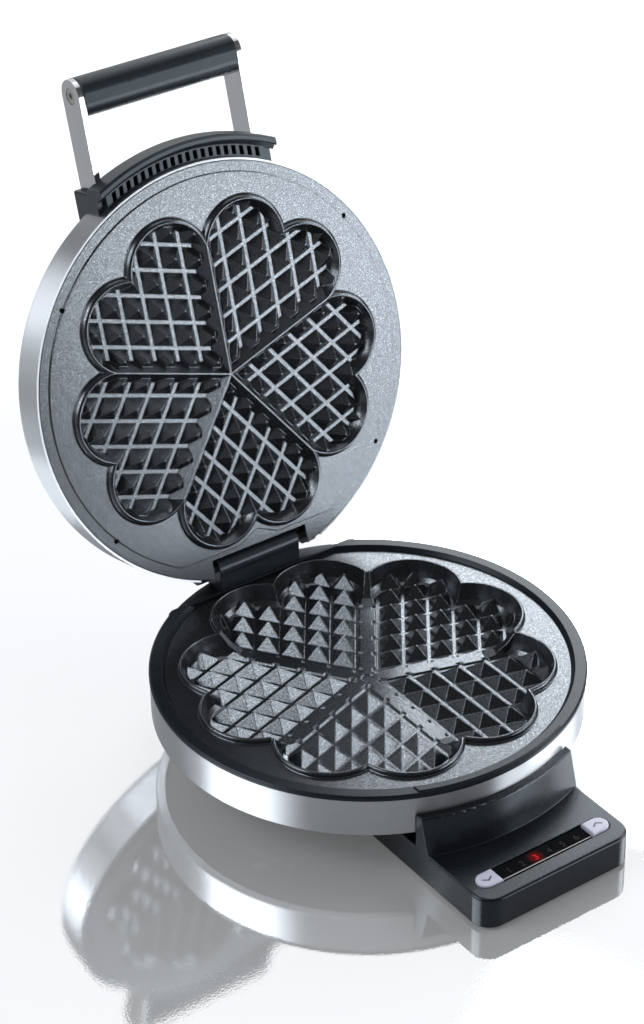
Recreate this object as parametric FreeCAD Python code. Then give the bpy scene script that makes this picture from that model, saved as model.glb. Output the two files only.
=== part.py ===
import FreeCAD, Part
import math
import os

V = FreeCAD.Vector
RIGHT = V(1, 0, 0)
BACK = V(0, 1, 0)
UP = V(0, 0, 1)
FAR = 200.0

# Whole waffle maker in millimetres: -Y is the front, the origin is on the table under the middle of the drum
DRUM_R = 108.0
LOWER_LAND_Z = 46.0
LAND_GAP = 3.0
UPPER_LAND_Z = LOWER_LAND_Z + LAND_GAP
HINGE_Y = 100.2
HINGE_Z = 57.9
OPEN_ANGLE = 105.2
RUN_FIT = 0.05
SEAT = 0.05

# Clover of five hearts: radius at the notch of a heart, at the cusp between two hearts and at the lobes
HEARTS = 5
HEART_STEP = 360.0 / HEARTS
HEART_HALF = HEART_STEP / 2.0
FIRST_HEART = 90.0
LOWER_CLOVER = (81.6, 75.2, 91.8)
UPPER_CLOVER = (80.0, 73.5, 90.7)
PYRAMID_PITCH = 13.45
PYRAMID_TIP = 0.8
PYRAMID_ROOT = 0.5
PYRAMID_SLIVER = 3.0
ROWS = 6

# Control block
BLOCK_HALF = 44.8
BLOCK_FRONT = -152.0
BLOCK_REAR = 98.0
BLOCK_BOTTOM = 1.5
DECK_Z = 18.0
BLOCK_WALL = 2.5
BLOCK_CORNER = 10.0
ARC_TOP_Z = 36.5
ARC_TOP_R = 112.5
ARC_FOOT_R = 117.7
PANEL_Y = -138.0
PANEL_HALF = 39.2
PANEL_WIDTH = 10.8
LENS_HALF = 26.6
BUTTON_X = 33.0

# Handle, measured with the lid shut
ARM_OUTER_X = 47.0
ARM_THICK = 3.0
ARM_WIDTH = 16.5
ARM_MID_Z = UPPER_LAND_Z + 18.7
ARM_END_Y = -153.0
ARM_ROOT_Y = -93.0

# Screws and their holes
SCREW_R = 1.5
SCREW_HOLE_R = 1.6
HEAD_R = 3.3
HEAD_HOLE_R = 3.6
CROSS_HALF = 0.35
CROSS_DEPTH = 0.8
CROSS_REACH = 0.6


def box(x0, x1, y0, y1, z0, z1):
    return Part.makeBox(x1 - x0, y1 - y0, z1 - z0, V(x0, y0, z0))


def slab(x=(-FAR, FAR), y=(-FAR, FAR), z=(-FAR, FAR)):
    return box(*x, *y, *z)


def rod(r, h, x, y, z, axis=UP):
    return Part.makeCylinder(r, h, V(x, y, z), axis)


def rod_x(r, x0, x1, y, z):
    return rod(r, x1 - x0, x0, y, z, RIGHT)


def turned(points):
    corners = [V(r, 0, z) for r, z in points]
    return Part.Face(Part.makePolygon(corners + corners[:1])).revolve(V(0, 0, 0), UP, 360)


def along_x(points, x0, x1):
    corners = [V(x0, y, z) for y, z in points]
    return Part.Face(Part.makePolygon(corners + corners[:1])).extrude(V(x1 - x0, 0, 0))


def upwards(points, z0, z1):
    corners = [V(x, y, z0) for x, y in points]
    return Part.Face(Part.makePolygon(corners + corners[:1])).extrude(V(0, 0, z1 - z0))


def polar(r, angle):
    return r * math.cos(math.radians(angle)), r * math.sin(math.radians(angle))


def fuse_all(shapes):
    return shapes[0].multiFuse(shapes[1:]).removeSplitter()


def both_sides(shape):
    return [shape, shape.mirror(V(0, 0, 0), RIGHT)]


def round_edges(shape, radius, wanted):
    return shape.makeFillet(radius, [e for e in shape.Edges if wanted(e)])


def upright(edge):
    a, b = edge.Vertexes[0].Point, edge.Vertexes[-1].Point
    return abs(a.x - b.x) < 1e-6 and abs(a.y - b.y) < 1e-6


def flat_at(z):
    return lambda edge: all(abs(v.Point.z - z) < 1e-6 for v in edge.Vertexes)


def swing_open(shape):
    opened = shape.copy()
    opened.rotate(V(0, HINGE_Y, HINGE_Z), RIGHT, -OPEN_ANGLE)
    return opened


def save(name, shape):
    shape.exportStep("parts/" + name + ".step")


def screw(x, y, z, head_h, shank_l, up=1):
    axis = V(0, 0, up)
    head = rod(HEAD_R, head_h, x, y, z, axis)
    shank = rod(SCREW_R, shank_l, x, y, z + up * head_h * 0.9, axis)
    arm = HEAD_R * CROSS_REACH
    cross = [box(x - arm, x + arm, y - CROSS_HALF, y + CROSS_HALF, z - CROSS_DEPTH, z + CROSS_DEPTH),
             box(x - CROSS_HALF, x + CROSS_HALF, y - arm, y + arm, z - CROSS_DEPTH, z + CROSS_DEPTH)]
    return fuse_all([head, shank]).cut(cross)


# Heart-shaped cavities: a stage is the half gap at the dividing walls, the inset of the lobes and a height
def lobe_circle(clover):
    notch, cusp, bulge = clover
    ax, ay = polar(cusp, HEART_HALF)
    bx, by = polar(bulge, HEART_HALF / 2.0)
    cx, cy = notch, 0.0
    d = 2.0 * (ax * (by - cy) + bx * (cy - ay) + cx * (ay - by))
    aa, bb, cc = ax * ax + ay * ay, bx * bx + by * by, cx * cx + cy * cy
    ux = (aa * (by - cy) + bb * (cy - ay) + cc * (ay - by)) / d
    uy = (aa * (cx - bx) + bb * (ax - cx) + cc * (bx - ax)) / d
    return ux, uy, math.hypot(ax - ux, ay - uy)


def heart_wire(clover, stage):
    wall, inset, z = stage
    ux, uy, lobe_r = lobe_circle(clover)
    r = lobe_r - inset
    hub = wall / math.sin(math.radians(HEART_HALF))
    dx, dy = polar(1.0, HEART_HALF)
    toward = dx * (hub - ux) - dy * uy
    off = (hub - ux) ** 2 + uy ** 2 - r * r
    reach = -toward + math.sqrt(toward * toward - off)
    jx, jy = hub + reach * dx, reach * dy
    nx = ux + math.sqrt(r * r - uy * uy)
    middle = (math.atan2(jy - uy, jx - ux) + math.atan2(-uy, nx - ux)) / 2.0
    mx, my = ux + r * math.cos(middle), uy + r * math.sin(middle)
    edges = [Part.makeLine(V(hub, 0, z), V(jx, jy, z)),
             Part.Arc(V(jx, jy, z), V(mx, my, z), V(nx, 0, z)).toShape(),
             Part.Arc(V(nx, 0, z), V(mx, -my, z), V(jx, -jy, z)).toShape(),
             Part.makeLine(V(jx, -jy, z), V(hub, 0, z))]
    return Part.Wire(edges)


def heart_loft(clover, stages):
    return Part.makeLoft([heart_wire(clover, stage) for stage in stages], True, True)


def five_hearts(shape):
    hearts = []
    for k in range(HEARTS):
        heart = shape.copy()
        heart.rotate(V(0, 0, 0), UP, FIRST_HEART + k * HEART_STEP)
        hearts.append(heart)
    return hearts


def rhomb(a, b, half, z):
    e1 = V(*polar(1.0, HEART_HALF), 0)
    e2 = V(*polar(1.0, -HEART_HALF), 0)
    centre = e1 * a + e2 * b + V(0, 0, z)
    corners = [centre + e1 * (s * half) + e2 * (t * half) for s, t in ((1, 1), (-1, 1), (-1, -1), (1, -1))]
    return Part.makePolygon(corners + corners[:1])


def pyramid(a, b, half, floor_z, tip_z):
    up = 1.0 if tip_z > floor_z else -1.0
    tip = PYRAMID_TIP / 2.0
    sunk = half + (half - tip) * PYRAMID_ROOT / abs(tip_z - floor_z)
    rings = [rhomb(a, b, sunk, floor_z - up * PYRAMID_ROOT), rhomb(a, b, tip, tip_z)]
    return Part.makeLoft(rings, True, True)


def heart_cavity(clover, stages, tip_z, first_row, valley):
    floor_z = stages[-1][2]
    floor = Part.Face(heart_wire(clover, stages[-1]))
    half = (PYRAMID_PITCH - valley) / 2.0
    rows = [first_row + PYRAMID_PITCH * (i + 0.5) for i in range(-1, ROWS)]
    tips = []
    for a in rows:
        for b in rows:
            foot = Part.Face(rhomb(a, b, half, floor_z))
            if foot.common(floor).Area > PYRAMID_SLIVER:
                tips.append(pyramid(a, b, half, floor_z, tip_z))
    return heart_loft(clover, stages).cut(tips)


def wall_angles():
    return [FIRST_HEART + HEART_HALF + k * HEART_STEP for k in range(HEARTS)]


def at_walls(maker, r):
    return [maker(*polar(r, angle)) for angle in wall_angles()]


# Black plastic base moulding: control block, dished tray under the plate and the arc wall round the drum
TRAY_UNDER_Z = DECK_Z - 0.5
TRAY_FLOOR_Z = 20.5
TRAY_LEDGE_Z = 28.8
TRAY_TOP_Z = 42.0
TRAY_FLAT_R = 86.0
TRAY_FLARE_R = 101.0
TRAY_SKIN = 0.7
TRAY_WALL_IN = 104.2
TRAY_WALL_OUT = 106.6
BAND_BOTTOM_Z = 25.5
BAND_TOP_Z = LOWER_LAND_Z - 0.3
BAND_SHEET = 0.8
ARC_CLEAR = 0.7
ARC_ROUND = 1.0
DECK_ROUND = 1.4
PLATE_POST_R = 89.5
POST_R = 3.6
POST_TOP_Z = 42.4
STUD_R = 3.0
STUD_TOP_Z = TRAY_FLOOR_Z + 1.8
STUD_RING_R = 40.0
COVER_POSTS = [(-36.0, -112.0), (36.0, -112.0), (-36.0, 60.0), (36.0, 60.0)]
COVER_POST_R = 4.0
COVER_POST_Z = 3.6
WIRE_HOLE_R = 30.0
GLAND_Z = 9.5
GLAND_R = 5.0


def block_outline(grow, z0, z1):
    body = box(-BLOCK_HALF - grow, BLOCK_HALF + grow, BLOCK_FRONT - grow, BLOCK_REAR + grow, z0, z1)
    return round_edges(body, BLOCK_CORNER + grow, upright)


def panel_slot(grow, z0, z1):
    half_width = PANEL_WIDTH / 2.0 + grow
    end = PANEL_HALF + grow - half_width
    parts = [box(-end, end, PANEL_Y - half_width, PANEL_Y + half_width, z0, z1)]
    parts += [rod(half_width, z1 - z0, side * end, PANEL_Y, z0) for side in (-1, 1)]
    return fuse_all(parts)


def make_tray():
    step_z = BAND_BOTTOM_Z + BAND_SHEET
    return turned([(0, TRAY_UNDER_Z), (TRAY_FLAT_R, TRAY_UNDER_Z), (TRAY_FLAT_R, DECK_Z),
                   (TRAY_FLARE_R, step_z), (TRAY_WALL_OUT, step_z), (TRAY_WALL_OUT, TRAY_TOP_Z),
                   (TRAY_WALL_IN, TRAY_TOP_Z), (TRAY_WALL_IN, TRAY_LEDGE_Z),
                   (TRAY_FLARE_R - TRAY_SKIN, TRAY_LEDGE_Z), (TRAY_FLAT_R - TRAY_SKIN, TRAY_FLOOR_Z),
                   (0, TRAY_FLOOR_Z)])


def make_arc_wall():
    foot_z = DECK_Z - 1.5
    inner = DRUM_R + ARC_CLEAR
    arc = turned([(inner, foot_z), (ARC_FOOT_R, foot_z), (ARC_TOP_R, ARC_TOP_Z), (inner, ARC_TOP_Z)])
    arc = arc.common(slab(x=(-BLOCK_HALF, BLOCK_HALF), y=(-FAR, 0)))
    return round_edges(arc, ARC_ROUND, flat_at(ARC_TOP_Z))


def make_base_housing():
    inside_z = DECK_Z - BLOCK_WALL
    block = round_edges(block_outline(0, BLOCK_BOTTOM, DECK_Z), DECK_ROUND, flat_at(DECK_Z))
    block = block.cut(block_outline(-BLOCK_WALL, 0, inside_z))
    sunk_z = TRAY_FLOOR_Z - 0.5
    posts = at_walls(lambda x, y: rod(POST_R, POST_TOP_Z - sunk_z, x, y, sunk_z), PLATE_POST_R)
    studs = at_walls(lambda x, y: rod(STUD_R, STUD_TOP_Z - sunk_z, x, y, sunk_z), STUD_RING_R)
    bosses = [rod(COVER_POST_R, inside_z - COVER_POST_Z + 0.5, x, y, COVER_POST_Z) for x, y in COVER_POSTS]
    shell = fuse_all([fuse_all([block, make_tray(), make_arc_wall()] + posts + studs)] + bosses)
    cuts = [rod(WIRE_HOLE_R, TRAY_FLOOR_Z, 0, 0, BLOCK_BOTTOM + BLOCK_WALL)]
    cuts += [rod(SCREW_HOLE_R, inside_z - COVER_POST_Z - 1.0, x, y, COVER_POST_Z) for x, y in COVER_POSTS]
    cuts += at_walls(lambda x, y: rod(SCREW_HOLE_R, POST_TOP_Z, x, y, BLOCK_BOTTOM), PLATE_POST_R)
    cuts += at_walls(lambda x, y: rod(HEAD_HOLE_R, PLATE_SCREW_Z + 2.0, x, y, 0), PLATE_POST_R)
    cuts.append(panel_slot(0, inside_z - 1.0, DECK_Z + 1.0))
    cuts.append(rod(GLAND_R + SEAT, 20, 0, BLOCK_REAR - 10, GLAND_Z, BACK))
    return shell.cut(cuts)


# Ring that lines the cord's hole in the rear wall
GLAND_BORE_R = 3.2
GLAND_FLANGE = 2.0


def make_cord_gland():
    inner_y = BLOCK_REAR - BLOCK_WALL - SEAT
    sleeve = rod(GLAND_R, 7.0, 0, BLOCK_REAR - 5.0, GLAND_Z, BACK)
    flange = rod(GLAND_R + 1.6, GLAND_FLANGE, 0, BLOCK_REAR + SEAT, GLAND_Z, BACK)
    snap = rod(GLAND_R + 0.6, 1.5, 0, inner_y - 1.5, GLAND_Z, BACK)
    return fuse_all([sleeve, flange, snap]).cut(rod(GLAND_BORE_R, 20, 0, BLOCK_REAR - 10, GLAND_Z, BACK))


# Bottom cover with its feet and screws
FOOT_R = 7.0
FOOT_HIGH = 2.5
FOOT_ROUND = 0.5
FEET = [(-33.0, -139.0), (33.0, -139.0), (-33.0, 85.0), (33.0, 85.0)]
COVER_TOP = 3.5
BOARD_Z = 6.05
BOARD_RIB_X = 22.0
COVER_VENTS = 7
COVER_VENT_PITCH = 8.0
COVER_HEAD_H = 1.1


def make_bottom_cover():
    plate = block_outline(-BLOCK_WALL - 0.2, BLOCK_BOTTOM, COVER_TOP)
    ribs = both_sides(box(BOARD_RIB_X - 1, BOARD_RIB_X + 1, -146, -129, COVER_TOP - 0.1, BOARD_Z - SEAT))
    cuts = [rod(SCREW_HOLE_R, 10, x, y, 0) for x, y in COVER_POSTS]
    cuts += [rod(HEAD_HOLE_R, BLOCK_BOTTOM + COVER_HEAD_H + 0.1, x, y, 0) for x, y in COVER_POSTS]
    cuts += [rod(FOOT_R + SEAT, FOOT_HIGH, x, y, 0) for x, y in FEET]
    first = -COVER_VENT_PITCH * (COVER_VENTS // 2) - 4.5
    cuts += [box(-18, 18, first + COVER_VENT_PITCH * k, first + COVER_VENT_PITCH * k + 3, 0, 5)
             for k in range(COVER_VENTS)]
    return fuse_all([plate] + ribs).cut(cuts)


def make_rubber_feet():
    feet = [rod(FOOT_R, FOOT_HIGH, x, y, 0) for x, y in FEET]
    return Part.makeCompound([round_edges(foot, FOOT_ROUND, flat_at(0)) for foot in feet])


def make_bottom_screws():
    return Part.makeCompound([screw(x, y, BLOCK_BOTTOM + SEAT, COVER_HEAD_H, 9.0) for x, y in COVER_POSTS])


# Brushed steel band wrapped round the tray, its lower edge turned in
BAND_TURN_IN = 4.6
BAND_ROUND = 0.6


def make_lower_band():
    turn_r = DRUM_R - BAND_TURN_IN
    sheet_z = BAND_BOTTOM_Z + BAND_SHEET
    band = turned([(turn_r, BAND_BOTTOM_Z), (DRUM_R, BAND_BOTTOM_Z), (DRUM_R, BAND_TOP_Z),
                   (DRUM_R - BAND_SHEET, BAND_TOP_Z), (DRUM_R - BAND_SHEET, sheet_z), (turn_r, sheet_z)])
    low = flat_at(BAND_BOTTOM_Z)
    return round_edges(band, BAND_ROUND, lambda e: low(e) and e.Curve.Radius > DRUM_R - 0.1)


# Black rim that frames the lower plate, straight across the rear, with a raised lip at the front
RIM_TOP_Z = LOWER_LAND_Z + 2.4
RIM_UNDER_Z = 40.4
RIM_SHELF_Z = 42.6
RIM_SKIRT_Z = BAND_TOP_Z + 0.2
RIM_SHELF_R = 97.0
RIM_PLUG_R = 103.9
RIM_NECK_R = 106.7
RIM_IN = 100.7
RIM_TOP_IN = 102.2
RIM_OUT = 108.3
FRONT_LIP_HALF = 42.2
FRONT_LIP_HIGH = 0.7
CHORD_Y = 91.4
CHORD_BACK = 93.2
REAR_DECK_Z = 46.0
KNUCKLE_SCREW_X = (-15.0, 15.0)
KNUCKLE_SCREW_Y = 99.0
KNUCKLE_HEAD_H = 1.3


def make_lower_rim():
    under = [(RIM_PLUG_R, RIM_UNDER_Z), (RIM_PLUG_R, TRAY_TOP_Z + 0.2), (RIM_NECK_R, TRAY_TOP_Z + 0.2),
             (RIM_NECK_R, RIM_SKIRT_Z), (RIM_OUT, RIM_SKIRT_Z)]
    ring = turned([(RIM_SHELF_R, RIM_UNDER_Z)] + under
                  + [(RIM_OUT, RIM_TOP_Z - 1.0), (RIM_OUT - 0.8, RIM_TOP_Z), (RIM_TOP_IN, RIM_TOP_Z),
                     (RIM_IN, LOWER_LAND_Z), (RIM_IN, RIM_SHELF_Z), (RIM_SHELF_R, RIM_SHELF_Z)])
    disc = turned([(0, RIM_UNDER_Z)] + under + [(RIM_OUT, RIM_TOP_Z), (0, RIM_TOP_Z)])
    rear = disc.common(slab(y=(CHORD_Y, FAR)))
    lip_top = RIM_TOP_Z + FRONT_LIP_HIGH
    lip = turned([(RIM_TOP_IN + 0.4, RIM_TOP_Z - 0.5), (RIM_OUT - 1.2, RIM_TOP_Z - 0.5),
                  (RIM_OUT - 1.2, lip_top - 0.4), (RIM_OUT - 1.6, lip_top), (RIM_TOP_IN + 0.8, lip_top)])
    lip = lip.common(slab(x=(-FRONT_LIP_HALF, FRONT_LIP_HALF), y=(-FAR, 0)))
    cuts = [slab(y=(CHORD_BACK, FAR), z=(REAR_DECK_Z, FAR))]
    for x in KNUCKLE_SCREW_X:
        cuts.append(rod(SCREW_HOLE_R, 20, x, KNUCKLE_SCREW_Y, RIM_UNDER_Z - 5))
        cuts.append(rod(HEAD_R + 0.1, KNUCKLE_HEAD_H + 0.1, x, KNUCKLE_SCREW_Y, RIM_UNDER_Z))
    return fuse_all([ring, rear, lip]).cut(cuts)


# Lower baking plate: cast aluminium with a non-stick coat
PLATE_R = 100.4
PLATE_CHORD = 91.1
LAND_THICK = 3.2
LOWER_FLOOR_Z = LOWER_LAND_Z - 9.6
LOWER_TIP_Z = LOWER_FLOOR_Z + 5.5
LOWER_BACK_Z = LOWER_FLOOR_Z - 2.7
LOWER_LIP_Z = LOWER_LAND_Z + 2.4
LOWER_FIRST_ROW = 5.8
LOWER_VALLEY = 1.7
RIDGE_Z = LOWER_FLOOR_Z + 0.9
RIDGE_CUT = [(-2.0, RIDGE_Z), (61.0, RIDGE_Z), (67.0, RIDGE_Z + 1.2), (72.5, RIDGE_Z + 5.0), (77.5, LOWER_LIP_Z),
             (77.5, LOWER_LIP_Z + 5.0), (-2.0, LOWER_LIP_Z + 5.0)]
RIDGE_CUT_HALF = 7.0
HUB_DIMPLE_R = 3.2
HUB_DIMPLE_Z = LOWER_FLOOR_Z + 0.3
LOWER_LIP = [(-0.1, -2.0, LOWER_LAND_Z - 0.5), (-0.1, -1.8, LOWER_LAND_Z), (-0.1, -1.6, LOWER_LAND_Z + 1.4),
             (-0.1, -1.2, LOWER_LAND_Z + 2.1), (-0.1, -0.6, LOWER_LIP_Z)]
LOWER_POCKET = [(-0.3, -0.5, LOWER_LAND_Z - 1.0), (-0.3, 0.0, LOWER_FLOOR_Z + 3.0), (-0.3, 2.9, LOWER_BACK_Z)]
LOWER_CAVITY = [(1.2, -0.3, LOWER_LIP_Z + 0.6), (1.3, 0.0, LOWER_LIP_Z - 0.4), (1.8, 1.2, LOWER_FLOOR_Z + 6.0),
                (2.1, 2.0, LOWER_FLOOR_Z + 3.0), (2.3, 3.6, LOWER_FLOOR_Z + 0.8), (2.6, 5.8, LOWER_FLOOR_Z)]
HUB_R = 30.0
ELEMENT_RING_R = 58.0
ELEMENT_R = 3.2
ELEMENT_SUNK = 0.4
ELEMENT_SEAT = 5.2
SEAT_HIGH = 2.6
LEG_ANGLE = 12.0
LEG_END_R = 26.0
PIN_END_R = 19.0
LOWER_ELEMENT_Z = LOWER_BACK_Z - ELEMENT_R + ELEMENT_SUNK


def element_seat(back_z, up):
    inner, outer = ELEMENT_RING_R - ELEMENT_SEAT, ELEMENT_RING_R + ELEMENT_SEAT
    sunk_z, top_z = back_z - up * 0.5, back_z + up * SEAT_HIGH
    return turned([(inner, sunk_z), (outer, sunk_z), (outer, top_z), (inner, top_z)])


def element_grooves(z):
    grooves = [Part.makeTorus(ELEMENT_RING_R, ELEMENT_R + 0.06, V(0, 0, z))]
    for angle in (90 - LEG_ANGLE, 90 + LEG_ANGLE):
        grooves.append(rod(ELEMENT_R + 0.3, 40, *polar(LEG_END_R - 4, angle), z, V(*polar(1, angle), 0)))
    return grooves


def make_lower_plate():
    land = rod(PLATE_R, LAND_THICK, 0, 0, LOWER_LAND_Z - LAND_THICK).common(slab(y=(-FAR, PLATE_CHORD)))
    hub = rod(HUB_R, LOWER_LAND_Z - 6 - LOWER_BACK_Z, 0, 0, LOWER_BACK_Z)
    lips = five_hearts(heart_loft(LOWER_CLOVER, LOWER_LIP))
    pockets = five_hearts(heart_loft(LOWER_CLOVER, LOWER_POCKET))
    plate = fuse_all([land, hub, element_seat(LOWER_BACK_Z, -1)] + lips + pockets)
    cavity = heart_cavity(LOWER_CLOVER, LOWER_CAVITY, LOWER_TIP_Z, LOWER_FIRST_ROW, LOWER_VALLEY)
    plate = plate.cut(five_hearts(cavity))
    drops = [rod(HUB_DIMPLE_R, 20, 0, 0, HUB_DIMPLE_Z)]
    for angle in wall_angles():
        drop = along_x(RIDGE_CUT, -RIDGE_CUT_HALF, RIDGE_CUT_HALF)
        drop.rotate(V(0, 0, 0), UP, angle - 90)
        drops.append(drop)
    holes = at_walls(lambda x, y: rod(SCREW_HOLE_R, 4.0, x, y, LOWER_LAND_Z - 5.2), PLATE_POST_R)
    return plate.cut(drops + element_grooves(LOWER_ELEMENT_Z) + holes)


# Tube heating element with its two cold pins
def heating_element(z):
    ring = Part.makeTorus(ELEMENT_RING_R, ELEMENT_R, V(0, 0, z), UP, -180, 180, 360 - 2 * LEG_ANGLE)
    ring.rotate(V(0, 0, 0), UP, 90 + LEG_ANGLE)
    parts = [ring]
    for angle in (90 - LEG_ANGLE, 90 + LEG_ANGLE):
        way = V(*polar(1, angle), 0)
        parts.append(rod(ELEMENT_R, ELEMENT_RING_R - LEG_END_R, *polar(LEG_END_R, angle), z, way))
        parts.append(Part.makeSphere(ELEMENT_R, V(*polar(ELEMENT_RING_R, angle), z)))
        parts.append(rod(1.2, 8, *polar(PIN_END_R, angle), z, way))
    return fuse_all(parts)


# Sheet shields, plate screws, sensor, fuses and terminals inside the base and the lid
SHIELD_SHEET = 0.6
PLATE_SCREW_Z = 21.0
PLATE_HEAD_H = 2.0


def make_heat_shield(z, r, hole):
    return rod(r, SHIELD_SHEET, 0, 0, z).cut(rod(hole, 2, 0, 0, z - 1))


def make_lower_plate_screws():
    screws = at_walls(lambda x, y: screw(x, y, PLATE_SCREW_Z, PLATE_HEAD_H, 20.6), PLATE_POST_R)
    return Part.makeCompound(screws)


def make_sensor(top_z, x, y):
    body = rod(3.0, 6.0, x, y, top_z - 6.05)
    cap = rod(4.2, 1.2, x, y, top_z - 1.2 - SEAT)
    leads = [rod(0.5, 5.0, x + side, y, top_z - 11.0) for side in (-1.2, 1.2)]
    return fuse_all([body, cap] + leads)


def make_fuse(x, y, z):
    can = rod_x(2.4, x - 6, x + 6, y, z)
    clip = box(x - 2.5, x + 2.5, y - 3.2, y + 3.2, z + 0.6, z + 2.9)
    leads = [rod_x(0.5, x + start, x + start + 6, y, z) for start in (-11.5, 5.5)]
    return fuse_all([can, clip] + leads)


TERMINALS = 4
TERMINAL_PITCH = 7.3
TERMINAL_Y = 50.0


def make_terminal_block():
    cuts = []
    for k in range(TERMINALS):
        x = TERMINAL_PITCH * (k - (TERMINALS - 1) / 2)
        cuts.append(rod(1.9, 12, x, TERMINAL_Y, 9.0))
        cuts.append(rod(1.6, 20, x, TERMINAL_Y - 10, 7.0, BACK))
    return box(-16, 16, TERMINAL_Y - 6, TERMINAL_Y + 6, COVER_TOP + SEAT, 13.5).cut(cuts)


# Control panel: board, switches, digit display, window and two push buttons
BOARD_TOP = BOARD_Z + 1.6
CHIP_LOW = BOARD_TOP - 0.1
SWITCH_HALF = 3.0
DISPLAY_TOP = 12.4
DIGITS = 6
DIGIT_PITCH = 8.0
LENS_TOP_Z = DECK_Z - 0.7
LENS_LOW_Z = DISPLAY_TOP + 0.1
BUTTON_TOP_Z = DECK_Z + 0.9
BUTTON_LOW_Z = DECK_Z - 5.6
BUTTON_GAP = 0.45
BUTTON_SKIRT = 0.9
MARK_HALF = 2.3
MARK_RISE = 1.6
MARK_LINE = 0.55
MARK_DEPTH = 0.35


def make_control_board():
    board = box(-38, 38, -147, -127, BOARD_Z, BOARD_TOP)
    chips = [box(-30, -22, -134, -129, CHIP_LOW, BOARD_TOP + 1.6),
             box(14, 24, -134, -129, CHIP_LOW, BOARD_TOP + 1.2)]
    return fuse_all([board] + chips)


def make_button_switches():
    switches = []
    for x in (-BUTTON_X, BUTTON_X):
        can = box(x - SWITCH_HALF, x + SWITCH_HALF, PANEL_Y - SWITCH_HALF, PANEL_Y + SWITCH_HALF,
                  BOARD_TOP + SEAT, BOARD_TOP + 2.6)
        switches.append(fuse_all([can, rod(1.6, 1.0, x, PANEL_Y, BOARD_TOP + 2.5)]))
    return Part.makeCompound(switches)


def make_led_display():
    body = box(-25, 25, PANEL_Y - 3.6, PANEL_Y + 3.6, BOARD_TOP + SEAT, DISPLAY_TOP)
    cells = []
    for k in range(DIGITS):
        x = DIGIT_PITCH * (k - (DIGITS - 1) / 2)
        cells.append(box(x - 3.2, x + 3.2, PANEL_Y - 2.6, PANEL_Y + 2.6, DISPLAY_TOP - 0.8, DISPLAY_TOP + 1))
    return body.cut(cells)


def make_display_lens():
    window = box(-LENS_HALF, LENS_HALF, PANEL_Y - 5.1, PANEL_Y + 5.1, LENS_LOW_Z, LENS_TOP_Z)
    window = round_edges(window, 0.3, flat_at(LENS_TOP_Z))
    flange = box(-LENS_HALF, LENS_HALF, PANEL_Y - 7.5, PANEL_Y + 7.5, LENS_LOW_Z, DECK_Z - BLOCK_WALL - SEAT)
    return fuse_all([window, flange])


def make_button(side):
    right_end = slab(x=(LENS_HALF + 0.5, FAR))
    cap = panel_slot(-BUTTON_GAP, BUTTON_LOW_Z, BUTTON_TOP_Z).common(right_end)
    cap = round_edges(cap, 0.7, flat_at(BUTTON_TOP_Z))
    skirt = panel_slot(BUTTON_SKIRT, BUTTON_LOW_Z, DECK_Z - BLOCK_WALL - 0.35).common(right_end)
    low, high = -MARK_RISE / 2, MARK_RISE / 2
    chevron = [(-MARK_HALF, low), (0, high), (MARK_HALF, low), (MARK_HALF, low + MARK_LINE),
               (0, high + MARK_LINE), (-MARK_HALF, low + MARK_LINE)]
    points = [(BUTTON_X + x, PANEL_Y + side * y) for x, y in chevron]
    button = fuse_all([cap, skirt]).cut(upwards(points, BUTTON_TOP_Z - MARK_DEPTH, BUTTON_TOP_Z + 1))
    return button if side > 0 else button.mirror(V(0, 0, 0), RIGHT)


# Hinge: knuckle on the base and the steel pin through it
KNUCKLE_HALF = 24.4
KNUCKLE_R = 6.5
KNUCKLE_FRONT = CHORD_BACK + 0.1
KNUCKLE_REAR = 106.2
PIN_R = 2.5
PIN_HALF = 35.8


def make_hinge_knuckle():
    foot_z = REAR_DECK_Z + SEAT
    barrel = rod_x(KNUCKLE_R, -KNUCKLE_HALF, KNUCKLE_HALF, HINGE_Y, HINGE_Z)
    foot = along_x([(KNUCKLE_FRONT, foot_z), (KNUCKLE_REAR, foot_z), (KNUCKLE_REAR, foot_z + 3.0),
                    (HINGE_Y + 5.2, HINGE_Z - 3.9), (HINGE_Y, HINGE_Z), (HINGE_Y - 6.2, HINGE_Z - 1.5),
                    (KNUCKLE_FRONT, foot_z + 2.6)], -KNUCKLE_HALF, KNUCKLE_HALF)
    cuts = [rod_x(PIN_R + 0.01, -FAR, FAR, HINGE_Y, HINGE_Z)]
    cuts += [rod(SCREW_HOLE_R, 7.0, x, KNUCKLE_SCREW_Y, foot_z - 1) for x in KNUCKLE_SCREW_X]
    return fuse_all([barrel, foot]).cut(cuts)


def make_hinge_pin():
    pin = rod_x(PIN_R, -PIN_HALF, PIN_HALF, HINGE_Y, HINGE_Z)
    return pin.makeChamfer(0.4, [e for e in pin.Edges if abs(abs(e.BoundBox.Center.x) - PIN_HALF) < 1e-3])


def make_knuckle_screws():
    y, z = KNUCKLE_SCREW_Y, RIM_UNDER_Z + SEAT
    return Part.makeCompound([screw(x, y, z, KNUCKLE_HEAD_H, 9.6) for x in KNUCKLE_SCREW_X])


# Lid, drawn shut over the lower plate and swung open when it is saved: drawn steel shell
LID_EDGE_Z = UPPER_LAND_Z + 0.9
LID_WALL_TOP = UPPER_LAND_Z + 17.0
LID_CORNER = 8.0
LID_RISE = 4.5
SHELL_SHEET = 1.0
EAR_IN = 29.4
EAR_OUT = 36.0
EAR_R = 5.2
NOTCH_HALF = 28.7
NOTCH_Y = 92.7


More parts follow.
